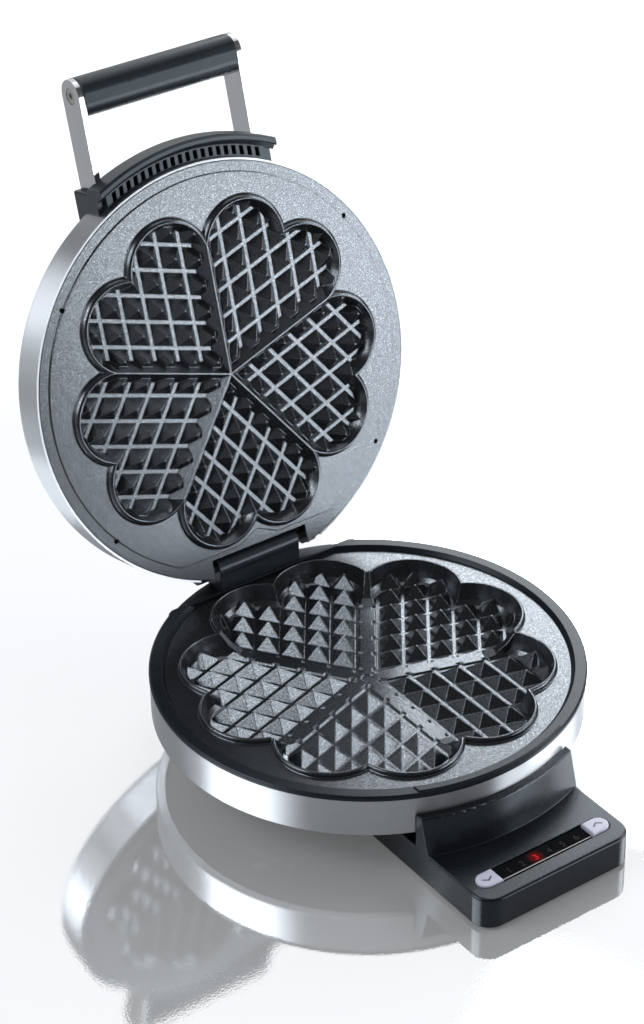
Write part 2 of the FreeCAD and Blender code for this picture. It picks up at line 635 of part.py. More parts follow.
def lid_form(shrink, z_low):
    top = LID_WALL_TOP + LID_CORNER + LID_RISE - shrink
    dome_r = (DRUM_R ** 2 + LID_RISE ** 2) / (2.0 * LID_RISE) - shrink
    dome = Part.makeSphere(dome_r, V(0, 0, top - dome_r))
    form = rod(DRUM_R - shrink, top + 20 - z_low, 0, 0, z_low).common(dome)
    closed_ring = lambda e: len(e.Vertexes) == 1 and e.BoundBox.ZMin > LID_WALL_TOP
    return round_edges(form, LID_CORNER - shrink, closed_ring)


def make_lid_shell():
    shell = lid_form(0, LID_EDGE_Z).cut(lid_form(SHELL_SHEET, LID_EDGE_Z - 5))
    notch = slab(x=(-NOTCH_HALF - 0.4, NOTCH_HALF + 0.4), y=(NOTCH_Y - 2.5, FAR), z=(0, HINGE_Z + 12.5))
    ears = slab(x=(-EAR_OUT - 1.2, EAR_OUT + 1.2), y=(NOTCH_Y - 5.0, FAR), z=(0, HINGE_Z + 7.0))
    return shell.cut([notch, ears] + both_sides(arm_blade(0.35)))


# Upper baking plate: its raised lips drop inside those of the lower plate
UPPER_PLATE_R = 101.3
UPPER_LAND_THICK = 3.4
UPPER_CHORD = 90.0
RING_Z = UPPER_LAND_Z + 0.8
RING_R = 106.8
RING_IN = 96.5
RING_THICK = 2.4
UPPER_FLOOR_Z = UPPER_LAND_Z + 3.3
UPPER_TIP_Z = UPPER_FLOOR_Z - 5.2
UPPER_BACK_Z = UPPER_FLOOR_Z + 2.7
UPPER_FIRST_ROW = -0.9
UPPER_VALLEY = 2.1
UPPER_LIP_Z = UPPER_LAND_Z - 2.8
UPPER_LIP = [(-0.1, 0.0, UPPER_LAND_Z + 0.5), (-0.1, 0.0, UPPER_LAND_Z), (-0.1, 0.6, UPPER_LAND_Z - 1.5),
             (-0.1, 1.3, UPPER_LAND_Z - 2.4), (-0.1, 2.2, UPPER_LIP_Z)]
UPPER_POCKET = [(-2.8, -3.0, UPPER_LAND_Z + 2.0), (0.7, 0.5, UPPER_BACK_Z)]
UPPER_CAVITY = [(0.4, 2.5, UPPER_LIP_Z - 0.6), (0.5, 2.8, UPPER_LIP_Z + 0.4), (5.3, 6.4, UPPER_FLOOR_Z)]
UPPER_ELEMENT_Z = UPPER_BACK_Z + ELEMENT_R - ELEMENT_SUNK
LAND_DIP = [(-14.0, 91.0), (0.0, 84.4), (14.0, 91.0)]
NICK_ANGLES = (-35.0, 215.0, 38.5, 141.5)
NICK_R = 1.3
BOSS_R = 4.5
MOUNT_Z = UPPER_LAND_Z + 5.92
SHIELD_LID_Z = UPPER_LAND_Z + 20.5


def make_upper_plate():
    land = rod(UPPER_PLATE_R, UPPER_LAND_THICK, 0, 0, UPPER_LAND_Z).common(slab(y=(-FAR, UPPER_CHORD)))
    land = land.cut(upwards(LAND_DIP, UPPER_LAND_Z - 1, RING_Z))
    ring = rod(RING_R, RING_THICK, 0, 0, RING_Z).cut(rod(RING_IN, 10, 0, 0, RING_Z - 5))
    rear = rod(RING_R, RING_THICK, 0, 0, RING_Z).common(slab(y=(80.0, FAR)))
    hub = rod(HUB_R, UPPER_BACK_Z - UPPER_LAND_Z - 5, 0, 0, UPPER_LAND_Z + 5)
    lips = five_hearts(heart_loft(UPPER_CLOVER, UPPER_LIP))
    pockets = five_hearts(heart_loft(UPPER_CLOVER, UPPER_POCKET))
    boss_z = UPPER_LAND_Z + 3
    bosses = at_walls(lambda x, y: rod(BOSS_R, MOUNT_Z - 0.02 - boss_z, x, y, boss_z), PLATE_POST_R)
    stud_z = UPPER_BACK_Z - 3
    studs = at_walls(lambda x, y: rod(STUD_R, SHIELD_LID_Z - stud_z, x, y, stud_z), STUD_RING_R)
    plate = fuse_all([land, ring, rear, hub, element_seat(UPPER_BACK_Z, 1)] + lips + pockets + bosses + studs)
    cavity = heart_cavity(UPPER_CLOVER, UPPER_CAVITY, UPPER_TIP_Z, UPPER_FIRST_ROW, UPPER_VALLEY)
    plate = plate.cut(five_hearts(cavity))
    cuts = element_grooves(UPPER_ELEMENT_Z)
    cuts += at_walls(lambda x, y: rod(SCREW_HOLE_R, 10, x, y, UPPER_LAND_Z + 1.4), PLATE_POST_R)
    cuts.append(slab(x=(-NOTCH_HALF, NOTCH_HALF), y=(NOTCH_Y, FAR)))
    cuts.append(rod_x(EAR_R + 0.3, -EAR_OUT - 0.5, EAR_OUT + 0.5, HINGE_Y, HINGE_Z))
    cuts += [rod(NICK_R, 5, *polar(UPPER_PLATE_R + 0.6, angle), UPPER_LAND_Z - 2) for angle in NICK_ANGLES]
    return plate.cut(cuts)


# Pressed steel ring that ties the upper plate and the hinge bracket to the lid shell
MOUNT_IN = 85.0
MOUNT_SHEET = 1.0
MOUNT_FLANGE = 6.0
BRACKET_FRONT = 84.0
BRACKET_BACK = BRACKET_FRONT + 6.1
BRACKET_TOP = HINGE_Z + 9.0
MOUNT_CLEAR = [(-4.8, -5.0, MOUNT_Z - 2.0), (-4.8, -5.0, MOUNT_Z + 10.0)]


def make_mounting_ring():
    outer = DRUM_R - SHELL_SHEET - SEAT
    sheet_z = MOUNT_Z + MOUNT_SHEET
    flange_z = MOUNT_Z + MOUNT_FLANGE
    ring = turned([(MOUNT_IN, MOUNT_Z), (outer, MOUNT_Z), (outer, flange_z), (outer - MOUNT_SHEET, flange_z),
                   (outer - MOUNT_SHEET, sheet_z), (MOUNT_IN, sheet_z)])
    cuts = five_hearts(heart_loft(UPPER_CLOVER, MOUNT_CLEAR))
    cuts += at_walls(lambda x, y: rod(SCREW_HOLE_R, 5, x, y, MOUNT_Z - 2), PLATE_POST_R)
    cuts.append(slab(x=(-EAR_OUT - 1.5, EAR_OUT + 1.5), y=(BRACKET_BACK - 0.2, FAR)))
    cuts.append(slab(x=(-KNUCKLE_HALF, KNUCKLE_HALF), y=(BRACKET_FRONT - 14, FAR)))
    return ring.cut(cuts + both_sides(arm_blade(0.8)))


def make_upper_plate_screws():
    top_z = MOUNT_Z + MOUNT_SHEET + PLATE_HEAD_H + SEAT
    return Part.makeCompound(at_walls(lambda x, y: screw(x, y, top_z, PLATE_HEAD_H, 4.2, -1), PLATE_POST_R))


def make_hinge_bracket():
    wall_y = BRACKET_BACK - 0.1
    foot_z = MOUNT_Z + MOUNT_SHEET + SEAT
    ear = along_x([(wall_y, foot_z + 0.25), (HINGE_Y, HINGE_Z - EAR_R * 0.55), (HINGE_Y, HINGE_Z + EAR_R),
                   (wall_y, BRACKET_TOP)], EAR_IN, EAR_OUT)
    ear = fuse_all([ear, rod_x(EAR_R, EAR_IN, EAR_OUT, HINGE_Y, HINGE_Z)])
    wall = box(-EAR_OUT, EAR_OUT, BRACKET_BACK - 2.7, BRACKET_BACK, foot_z, BRACKET_TOP)
    foot = box(-EAR_OUT, EAR_OUT, BRACKET_FRONT - 4.0, BRACKET_BACK - 2.5, foot_z, foot_z + 2.15)
    bore = rod_x(PIN_R + RUN_FIT, -FAR, FAR, HINGE_Y, HINGE_Z)
    return fuse_all(both_sides(ear) + [wall, foot]).cut(bore)


# Handle base: vented crescent with a visor over it and a socket for each arm
VENT_FACE_Z = UPPER_LAND_Z + 4.0
VISOR_LOW_Z = UPPER_LAND_Z - 0.2
BASE_TOP_Z = UPPER_LAND_Z + 13.5
VISOR_IN = 116.2
VISOR_OUT = 120.0
VISOR_HALF = 51.3
CRESCENT_HALF = 46.5
VENT_COUNT = 20
VENT_PITCH = 4.4
VENT_WIDTH = 2.2
VENT_IN = 109.3
VENT_OUT = 113.6
VENT_DEPTH = 6.0
SOCKET_IN = 41.0
SOCKET_OUT = 50.6
SOCKET_LOW_Z = UPPER_LAND_Z + 6.5
SOCKET_TOP_Z = UPPER_LAND_Z + 28.0
SOCKET_FRONT_Y = -106.0
SOCKET_BACK_Y = -90.0
SOCKET_ROUND = 1.2
ROOT_SCREW_Y = -103.0
ROOT_HEAD_R = 2.5
ROOT_SCREW_END = 49.2


def arm_blade(grow):
    half = ARM_WIDTH / 2.0 + grow
    x0 = ARM_OUTER_X - ARM_THICK - grow
    x1 = ARM_OUTER_X + grow
    bar = box(x0, x1, ARM_END_Y, ARM_ROOT_Y + grow, ARM_MID_Z - half, ARM_MID_Z + half)
    return fuse_all([bar, rod_x(half, x0, x1, ARM_END_Y, ARM_MID_Z)])


def front_part(ring, half):
    return ring.common(slab(x=(-half, half), y=(-FAR, 0)))


def make_vents():
    ring = rod(VENT_OUT, VENT_DEPTH + 2, 0, 0, VENT_FACE_Z - 2).cut(rod(VENT_IN, 20, 0, 0, VENT_FACE_Z - 5))
    bars = []
    for k in range(VENT_COUNT):
        x = VENT_PITCH * (k - (VENT_COUNT - 1) / 2)
        bars.append(slab(x=(x - VENT_WIDTH / 2, x + VENT_WIDTH / 2), y=(-FAR, 0)))
    return ring.common(Part.makeCompound(bars))


def make_handle_base():
    crescent = rod(VISOR_IN + 0.5, BASE_TOP_Z - VENT_FACE_Z, 0, 0, VENT_FACE_Z)
    inner = VISOR_IN - 2.2
    visor = turned([(VISOR_IN, VISOR_LOW_Z + 0.8), (VISOR_IN + 0.8, VISOR_LOW_Z),
                    (VISOR_OUT - 1.0, VISOR_LOW_Z), (VISOR_OUT, VISOR_LOW_Z + 1.0),
                    (VISOR_OUT, BASE_TOP_Z - 1.5), (VISOR_OUT - 1.5, BASE_TOP_Z), (inner, BASE_TOP_Z),
                    (inner, VENT_FACE_Z + 0.4), (VISOR_IN, VENT_FACE_Z - 1.8)])
    socket = box(SOCKET_IN, SOCKET_OUT, SOCKET_FRONT_Y, SOCKET_BACK_Y, SOCKET_LOW_Z, SOCKET_TOP_Z)
    front = SOCKET_FRONT_Y + 1
    socket = round_edges(socket, SOCKET_ROUND, lambda e: upright(e) and e.Vertexes[0].Point.y < front)
    ring = [front_part(crescent, CRESCENT_HALF), front_part(visor, VISOR_HALF)]
    whole = fuse_all(ring + both_sides(socket))
    cuts = [lid_form(-0.1, LID_EDGE_Z - 3), make_vents()] + both_sides(arm_blade(0.08))
    cuts += both_sides(rod_x(SCREW_HOLE_R, SOCKET_IN - 6, ROOT_SCREW_END, ROOT_SCREW_Y, ARM_MID_Z))
    cuts += both_sides(rod_x(ROOT_HEAD_R + 0.2, SOCKET_IN - 0.4, SOCKET_IN + 1.0, ROOT_SCREW_Y, ARM_MID_Z))
    return whole.cut(cuts)


def make_arm_screws():
    head = rod_x(ROOT_HEAD_R, SOCKET_IN, SOCKET_IN + 1.0, ROOT_SCREW_Y, ARM_MID_Z)
    shank = rod_x(SCREW_R, SOCKET_IN + 0.5, ROOT_SCREW_END - 0.1, ROOT_SCREW_Y, ARM_MID_Z)
    return Part.makeCompound(both_sides(fuse_all([head, shank])))


# Flat steel arms and the grip between their rounded ends
GRIP_SCREW_R = 2.0
GRIP_HOLE_R = 2.1
GRIP_HEAD_R = 3.9
HEAD_RECESS = 1.6
HEX_R = 1.9
GRIP_FAR_Y = -161.2
GRIP_NEAR_Y = -141.8
GRIP_LOW_Z = ARM_MID_Z - 8.6
GRIP_HIGH_Z = ARM_MID_Z + 8.4
GRIP_ROUND = 7.2
GRIP_HALF = ARM_OUTER_X - ARM_THICK - SEAT
GRIP_BORE = 16.0


def make_arm():
    inside = ARM_OUTER_X - 2 * ARM_THICK
    outside = ARM_OUTER_X + 2.0
    cuts = [rod_x(GRIP_HOLE_R, inside, outside, ARM_END_Y, ARM_MID_Z),
            rod_x(GRIP_HEAD_R + 0.2, ARM_OUTER_X - HEAD_RECESS, outside, ARM_END_Y, ARM_MID_Z),
            rod_x(SCREW_HOLE_R, inside, outside, ROOT_SCREW_Y, ARM_MID_Z)]
    return arm_blade(0).cut(cuts)


def make_grip():
    grip = box(-GRIP_HALF, GRIP_HALF, GRIP_FAR_Y, GRIP_NEAR_Y, GRIP_LOW_Z, GRIP_HIGH_Z)
    grip = round_edges(grip, GRIP_ROUND, lambda e: e.BoundBox.XLength > GRIP_HALF)
    return grip.cut(both_sides(rod_x(GRIP_HOLE_R, GRIP_HALF - GRIP_BORE, FAR, ARM_END_Y, ARM_MID_Z)))


def make_handle_screws():
    under = ARM_OUTER_X - HEAD_RECESS + SEAT
    head = rod_x(GRIP_HEAD_R, under, under + 1.3, ARM_END_Y, ARM_MID_Z)
    shank = rod_x(GRIP_SCREW_R, GRIP_HALF - GRIP_BORE + 0.5, under + 0.5, ARM_END_Y, ARM_MID_Z)
    corners = [polar(HEX_R, 60 * k) for k in range(6)]
    hexagon = along_x([(ARM_END_Y + y, ARM_MID_Z + z) for y, z in corners], under + 0.5, ARM_OUTER_X + 2)
    return Part.makeCompound(both_sides(fuse_all([head, shank]).cut(hexagon)))


os.makedirs("parts", exist_ok=True)

base_parts = {
    "base_housing": make_base_housing(),
    "base_bottom_cover": make_bottom_cover(),
    "rubber_feet": make_rubber_feet(),
    "bottom_screws": make_bottom_screws(),
    "cord_gland": make_cord_gland(),
    "lower_shell_band": make_lower_band(),
    "lower_rim": make_lower_rim(),
    "lower_baking_plate": make_lower_plate(),
    "lower_heating_element": heating_element(LOWER_ELEMENT_Z),
    "lower_heat_shield": make_heat_shield(STUD_TOP_Z + SEAT, 82.0, WIRE_HOLE_R),
    "lower_plate_screws": make_lower_plate_screws(),
    "temperature_sensor": make_sensor(LOWER_BACK_Z, 0.0, -14.0),
    "lower_thermal_fuse": make_fuse(0.0, 4.0, LOWER_BACK_Z - 2.95),
    "terminal_block": make_terminal_block(),
    "control_board": make_control_board(),
    "button_switches": make_button_switches(),
    "led_display": make_led_display(),
    "display_lens": make_display_lens(),
    "button_down": make_button(-1),
    "button_up": make_button(1),
    "hinge_knuckle": make_hinge_knuckle(),
    "hinge_pin": make_hinge_pin(),
    "knuckle_screws": make_knuckle_screws(),
}

lid_parts = {
    "lid_shell": make_lid_shell(),
    "upper_baking_plate": make_upper_plate(),
    "upper_heating_element": heating_element(UPPER_ELEMENT_Z),
    "upper_heat_shield": make_heat_shield(SHIELD_LID_Z + SEAT, 84.0, 12.0),
    "upper_mounting_ring": make_mounting_ring(),
    "upper_plate_screws": make_upper_plate_screws(),
    "upper_thermal_fuse": make_fuse(0.0, -2.0, UPPER_BACK_Z + 2.45),
    "lid_hinge_bracket": make_hinge_bracket(),
    "handle_base": make_handle_base(),
    "right_handle_arm": make_arm(),
    "left_handle_arm": make_arm().mirror(V(0, 0, 0), RIGHT),
    "arm_screws": make_arm_screws(),
    "handle_grip": make_grip(),
    "handle_screws": make_handle_screws(),
}

for name, shape in base_parts.items():
    save(name, shape)
for name, shape in lid_parts.items():
    save(name, swing_open(shape))
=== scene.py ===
import math

import bmesh
import bpy
from mathutils import Matrix, Vector


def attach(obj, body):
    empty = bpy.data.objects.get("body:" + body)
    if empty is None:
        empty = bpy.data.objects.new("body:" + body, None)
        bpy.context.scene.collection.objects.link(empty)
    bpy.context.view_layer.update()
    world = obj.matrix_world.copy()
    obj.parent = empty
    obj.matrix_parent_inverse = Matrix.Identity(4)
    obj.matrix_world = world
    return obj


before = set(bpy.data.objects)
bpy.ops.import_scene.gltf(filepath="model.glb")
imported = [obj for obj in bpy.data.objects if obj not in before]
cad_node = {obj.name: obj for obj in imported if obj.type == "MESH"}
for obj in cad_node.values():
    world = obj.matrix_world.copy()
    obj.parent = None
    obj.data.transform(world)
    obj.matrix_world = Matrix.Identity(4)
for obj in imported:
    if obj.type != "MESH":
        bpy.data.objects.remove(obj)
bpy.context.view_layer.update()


# Control block: one satin black moulding with the arc wall round the drum, the deck in front of it and the
# tray under the band, closed from below by a flat cover of the same plastic. The mould is spark-eroded, so
# the skin has a fine even grain, and its corners are painted paler as an edge highlight.
HOUSING_BLACK = (0.0040, 0.0050, 0.0068)
HOUSING_ROUGHNESS = 0.23
HOUSING_GRAIN = 2600.0
HOUSING_SHEEN = 0.42
HOUSING_EDGE_REACH = 0.0007
COOL_GLOSS = (0.80, 0.91, 1.0)


def put(tree, kind, inputs=(), **settings):
    made = tree.nodes.new("ShaderNode" + kind)
    for key, value in settings.items():
        setattr(made, key, value)
    for socket, value in inputs:
        if isinstance(value, bpy.types.NodeSocket):
            tree.links.new(value, made.inputs[socket])
        else:
            made.inputs[socket].default_value = value
    return made


def speckle(tree, place, scale, detail=2.0):
    return put(tree, "TexNoise", [("Vector", place), ("Scale", scale), ("Detail", detail)]).outputs["Fac"]


def reckon(tree, operation, first, second):
    return put(tree, "Math", [(0, first), (1, second)], operation=operation).outputs[0]


def spread(tree, value, taken, given, interpolation_type="LINEAR"):
    limits = [("From Min", taken[0]), ("From Max", taken[1]), ("To Min", given[0]), ("To Max", given[1])]
    made = put(tree, "MapRange", [("Value", value), *limits], interpolation_type=interpolation_type)
    return made.outputs[0]


def blend(tree, share, under, over):
    return put(tree, "Mix", [(0, share), (6, under), (7, over)], data_type="RGBA").outputs[2]


def ramp(tree, value, stops):
    made = put(tree, "ValToRGB", [("Fac", value)])
    while len(made.color_ramp.elements) < len(stops):
        made.color_ramp.elements.new(0.5)
    for element, (at, colour) in zip(made.color_ramp.elements, stops):
        element.position = at
        element.color = (*colour, 1.0)
    return made.outputs["Color"]


def scaled(colour, share):
    return tuple(min(1.0, c * share) for c in colour)


def new_finish(name, metallic, roughness):
    finish = bpy.data.materials.new(name)
    finish.use_nodes = True
    tree = finish.node_tree
    shader = tree.nodes["Principled BSDF"]
    shader.inputs["Metallic"].default_value = metallic
    shader.inputs["Roughness"].default_value = roughness
    place = put(tree, "TexCoord").outputs["Object"]
    return finish, tree, shader, place


def emboss(tree, shader, height, strength, depth, normal=None):
    relief = put(tree, "Bump", [("Strength", strength), ("Distance", depth), ("Height", height)])
    if normal is not None:
        tree.links.new(normal, relief.inputs["Normal"])
    tree.links.new(relief.outputs[0], shader.inputs["Normal"])


# Bevel normal that rounds the edges, and a mask of those edges, used to paint edge highlights.
def rubbed_corner(tree, reach):
    rounded = put(tree, "Bevel", [("Radius", reach)], samples=6).outputs[0]
    straight = put(tree, "NewGeometry").outputs["Normal"]
    along = put(tree, "VectorMath", [(0, rounded), (1, straight)], operation="DOT_PRODUCT").outputs["Value"]
    return rounded, spread(tree, along, (0.995, 0.80), (0.0, 1.0))


def moulded_plastic(name, colour, roughness, grain, reach, sheen, edge_highlight_gain=2.2):
    finish, tree, shader, place = new_finish(name, 0.0, roughness)
    shader.inputs["Specular IOR Level"].default_value = sheen
    shader.inputs["Specular Tint"].default_value = (*COOL_GLOSS, 1.0)
    cloud = speckle(tree, place, 45.0, detail=4.0)
    skin = speckle(tree, place, grain)
    tone = ramp(tree, cloud, [(0.3, scaled(colour, 0.86)), (0.7, scaled(colour, 1.16))])
    # Corners get a paler base colour from the edge mask: a painted edge highlight, in every plastic made
    # here.
    normal, edge_highlight_mask = rubbed_corner(tree, reach)
    tone_with_edge_highlight = blend(tree, edge_highlight_mask, tone, (*scaled(colour, edge_highlight_gain), 1.0))
    gloss = spread(tree, skin, (0.3, 0.7), (roughness - 0.05, roughness + 0.06))
    tree.links.new(tone_with_edge_highlight, shader.inputs["Base Color"])
    tree.links.new(gloss, shader.inputs["Roughness"])
    emboss(tree, shader, skin, strength=0.10, depth=0.00006, normal=normal)
    return finish


def dress(finish, *names):
    for name in names:
        for held in cad_node[name].material_slots:
            held.material = finish


housing_finish = moulded_plastic("satin_black_housing", HOUSING_BLACK, HOUSING_ROUGHNESS, HOUSING_GRAIN,
                                 HOUSING_EDGE_REACH, HOUSING_SHEEN)
dress(housing_finish, "base_housing", "base_bottom_cover")


# Feet and lead gland: soft black rubber, pressed into the cover and the rear wall. Rubber is duller than the
# plastic round it, with a dusty bloom and fine pores.
RUBBER_BLACK = (0.022, 0.022, 0.023)

rubber_finish, tree, shader, place = new_finish("foot_rubber_dull", 0.0, 0.78)
bloom = speckle(tree, place, 320.0, detail=6.0)
dusty = ramp(tree, bloom, [(0.35, RUBBER_BLACK), (0.75, scaled(RUBBER_BLACK, 2.4))])
tree.links.new(dusty, shader.inputs["Base Color"])
emboss(tree, shader, speckle(tree, place, 3800.0), strength=0.25, depth=0.0001)
dress(rubber_finish, "rubber_feet", "cord_gland")


# Screws and hinge pin: zinc-plated steel, slightly yellow, turned and driven into the mouldings, the castings
# and the knuckle. The plating is mottled, duller in some patches than in others.
ZINC = (0.56, 0.55, 0.52)

screw_finish, tree, shader, place = new_finish("zinc_plated_screws", 1.0, 0.3)
plating = speckle(tree, place, 900.0, detail=5.0)
mottle = ramp(tree, plating, [(0.3, scaled(ZINC, 0.7)), (0.7, ZINC)])
tree.links.new(mottle, shader.inputs["Base Color"])
tree.links.new(spread(tree, plating, (0.0, 1.0), (0.18, 0.42)), shader.inputs["Roughness"])
dress(screw_finish, "bottom_screws", "lower_plate_screws", "upper_plate_screws", "knuckle_screws",
      "hinge_pin", "handle_screws", "arm_screws")


# Shell band and lid shell: thin stainless sheet, rolled and drawn, brushed round the drum so that fine lines
# run along it. The band is folded under the black rim. The lid is one pressed cup, brushed round the same
# axis on its side and blasted to a satin on the crown.
STEEL = (0.58, 0.60, 0.635)
BAND_ROUGHNESS = 0.36
LID_ROUGHNESS = 0.42
CROWN_SATIN = 0.38
CROWN_EDGE = (0.102, 0.090)
BRUSH_LAY = 0.95
SATIN_LAY = 0.2
BRUSH_LINES = (50.0, 5200.0, 1.0)
HINGE = Vector((0.0, 0.1002, 0.0579))
OPEN_ANGLE = math.radians(105.2)

shut_turn = Matrix.Rotation(OPEN_ANGLE, 3, "X")
shut_shift = HINGE - shut_turn @ HINGE
drum_axis = Vector((0.0, 0.0, 1.0))
drum_middle = Vector((0.0, 0.0, 0.0))
lid_axis = shut_turn.inverted() @ drum_axis
lid_middle = shut_turn.inverted() @ (drum_middle - shut_shift)


def shut_place(tree, place):
    turned = [("Vector", place), ("Rotation", (OPEN_ANGLE, 0.0, 0.0)), ("Location", tuple(shut_shift))]
    return put(tree, "Mapping", turned).outputs[0]


def lay_brushing_round(tree, shader, place, axis, middle):
    outward = put(tree, "VectorMath", [(0, place), (1, tuple(middle))], operation="SUBTRACT").outputs[0]
    along = put(tree, "VectorMath", [(0, tuple(axis)), (1, outward)], operation="CROSS_PRODUCT").outputs[0]
    grain = put(tree, "VectorTransform", [("Vector", along)], vector_type="VECTOR", convert_from="OBJECT",
                convert_to="WORLD")
    tree.links.new(grain.outputs[0], shader.inputs["Tangent"])
    shader.inputs["Anisotropic Rotation"].default_value = 0.25
    shader.inputs["Anisotropic"].default_value = BRUSH_LAY


def brush_steel(tree, shader, place, level_place, roughness):
    split = put(tree, "SeparateXYZ", [("Vector", level_place)])
    turn = reckon(tree, "ARCTAN2", split.outputs["Y"], split.outputs["X"])
    out = put(tree, "VectorMath", [(0, level_place), (1, (1.0, 1.0, 0.0))], operation="MULTIPLY").outputs[0]
    reach = put(tree, "VectorMath", [(0, out)], operation="LENGTH").outputs["Value"]
    arc = reckon(tree, "MULTIPLY", turn, reach)
    across = reckon(tree, "SUBTRACT", split.outputs["Z"], reach)
    lines = put(tree, "CombineXYZ", [("X", arc), ("Y", across)]).outputs[0]
    stretched = put(tree, "VectorMath", [(0, lines), (1, BRUSH_LINES)], operation="MULTIPLY").outputs[0]
    brushing = speckle(tree, stretched, 1.0, detail=4.0)
    cloud = speckle(tree, place, 18.0)
    line_tone = ramp(tree, brushing, [(0.3, scaled(STEEL, 0.80)), (0.7, scaled(STEEL, 1.10))])
    cloud_tone = ramp(tree, cloud, [(0.3, scaled(STEEL, 0.94)), (0.7, scaled(STEEL, 1.04))])
    gloss = spread(tree, brushing, (0.0, 1.0), (roughness - 0.08, roughness + 0.10))
    tree.links.new(blend(tree, 0.5, line_tone, cloud_tone), shader.inputs["Base Color"])
    tree.links.new(gloss, shader.inputs["Roughness"])
    emboss(tree, shader, brushing, strength=0.12, depth=0.00005)
    return reach, gloss


band_finish, tree, shader, place = new_finish("brushed_band_steel", 1.0, BAND_ROUGHNESS)
lay_brushing_round(tree, shader, place, drum_axis, drum_middle)
brush_steel(tree, shader, place, place, BAND_ROUGHNESS)
dress(band_finish, "lower_shell_band")

lid_finish, tree, shader, place = new_finish("brushed_lid_steel", 1.0, LID_ROUGHNESS)
lay_brushing_round(tree, shader, place, lid_axis, lid_middle)
reach, gloss = brush_steel(tree, shader, place, shut_place(tree, place), LID_ROUGHNESS)
satin = spread(tree, reach, CROWN_EDGE, (0.0, CROWN_SATIN), "SMOOTHSTEP")
lay = spread(tree, satin, (0.0, CROWN_SATIN), (BRUSH_LAY, SATIN_LAY))
tree.links.new(reckon(tree, "ADD", gloss, satin), shader.inputs["Roughness"])
tree.links.new(lay, shader.inputs["Anisotropic"])
dress(lid_finish, "lid_shell")


# Lower rim: a black moulded ring that sits over the band's top edge and frames the plate. Its skin is finer
# than the block's.
RIM_BLACK = (0.0062, 0.0078, 0.0100)

rim_finish = moulded_plastic("satin_black_rim", RIM_BLACK, roughness=0.30, grain=3000.0, reach=0.0005,
                             sheen=0.24)
dress(rim_finish, "lower_rim")


# Baking plates: cast aluminium with five hearts and rows of pyramids, sprayed with a grey non-stick coat that
# is baked on. The coat is satin and full of tiny pale flecks, and the sharp edges are painted paler as a
# highlight.
COAT_GREY = (0.083, 0.090, 0.100)
COAT_FLECK = (0.252, 0.267, 0.287)
COAT_ROUGHNESS = 0.22
COAT_GRAIN = 2900.0
EDGE_REACH = 0.0006
EDGE_HIGHLIGHT_SHARE = 0.55

coat_finish, tree, shader, place = new_finish("grey_nonstick_coat", 0.90, COAT_ROUGHNESS)
flecks = speckle(tree, place, COAT_GRAIN, detail=3.0)
coat = ramp(tree, flecks, [(0.40, scaled(COAT_GREY, 0.7)), (0.56, COAT_GREY), (0.72, COAT_FLECK)])
normal, edge_highlight_mask = rubbed_corner(tree, EDGE_REACH)
# The edges of the casting are painted paler here: a painted edge highlight.
coat_edge_highlight = reckon(tree, "MULTIPLY", edge_highlight_mask, EDGE_HIGHLIGHT_SHARE)
coat_with_edge_highlight = blend(tree, coat_edge_highlight, coat, (*scaled(COAT_GREY, 3.4), 1.0))
gloss = spread(tree, flecks, (0.3, 0.7), (COAT_ROUGHNESS + 0.06, COAT_ROUGHNESS - 0.05))
tree.links.new(coat_with_edge_highlight, shader.inputs["Base Color"])
tree.links.new(gloss, shader.inputs["Roughness"])
emboss(tree, shader, flecks, strength=0.12, depth=0.00008, normal=normal)
dress(coat_finish, "lower_baking_plate", "upper_baking_plate")


# Heating loops: steel tubes filled with powder and pressed against the plates from behind, brown and blue
# from the heat.
LOOP_BROWN = (0.20, 0.16, 0.13)
LOOP_BLUE = (0.13, 0.14, 0.18)
LOOP_PALE = (0.34, 0.31, 0.28)

loop_finish, tree, shader, place = new_finish("heat_tinted_tube", 1.0, 0.45)
scorch = speckle(tree, place, 70.0, detail=6.0)
tint = ramp(tree, scorch, [(0.3, LOOP_BROWN), (0.5, LOOP_BLUE), (0.7, LOOP_PALE)])
tree.links.new(tint, shader.inputs["Base Color"])
dress(loop_finish, "lower_heating_element", "upper_heating_element")


# Pressed sheet pieces inside: the shields, the ring that carries the upper plate, the sensor and the fuses,
# all plain galvanised sheet with a mottled spangle and fine scratches.
SHEET = (0.52, 0.53, 0.54)

sheet_finish, tree, shader, place = new_finish("galvanised_sheet", 1.0, 0.38)
spangle = put(tree, "TexVoronoi", [("Vector", place), ("Scale", 260.0)]).outputs["Distance"]
scratch = speckle(tree, place, 700.0, detail=5.0)
tree.links.new(ramp(tree, spangle, [(0.0, scaled(SHEET, 0.72)), (0.8, SHEET)]), shader.inputs["Base Color"])
tree.links.new(spread(tree, scratch, (0.0, 1.0), (0.26, 0.5)), shader.inputs["Roughness"])
dress(sheet_finish, "lower_heat_shield", "upper_heat_shield", "upper_mounting_ring", "temperature_sensor",
      "lower_thermal_fuse", "upper_thermal_fuse")


# Board, switches, digit module and terminals under the deck: a green laminate with faint tracks, small black
# mouldings on it, and a cream moulded terminal strip.
BOARD_GREEN = (0.02, 0.12, 0.06)
SWITCH_BLACK = (0.03, 0.03, 0.033)
TERMINAL_CREAM = (0.70, 0.66, 0.55)

board_finish, tree, shader, place = new_finish("green_laminate", 0.0, 0.35)
tracks = put(tree, "TexBrick", [("Vector", place), ("Color1", (*BOARD_GREEN, 1.0)),
                                ("Color2", (*scaled(BOARD_GREEN, 1.5), 1.0)),
                                ("Mortar", (*scaled(BOARD_GREEN, 0.6), 1.0)), ("Scale", 150.0)])
tree.links.new(tracks.outputs["Color"], shader.inputs["Base Color"])
dress(board_finish, "control_board")

switch_finish = moulded_plastic("switch_black", SWITCH_BLACK, roughness=0.45, grain=3000.0, reach=0.0003,
                                sheen=0.5)
dress(switch_finish, "button_switches", "led_display")

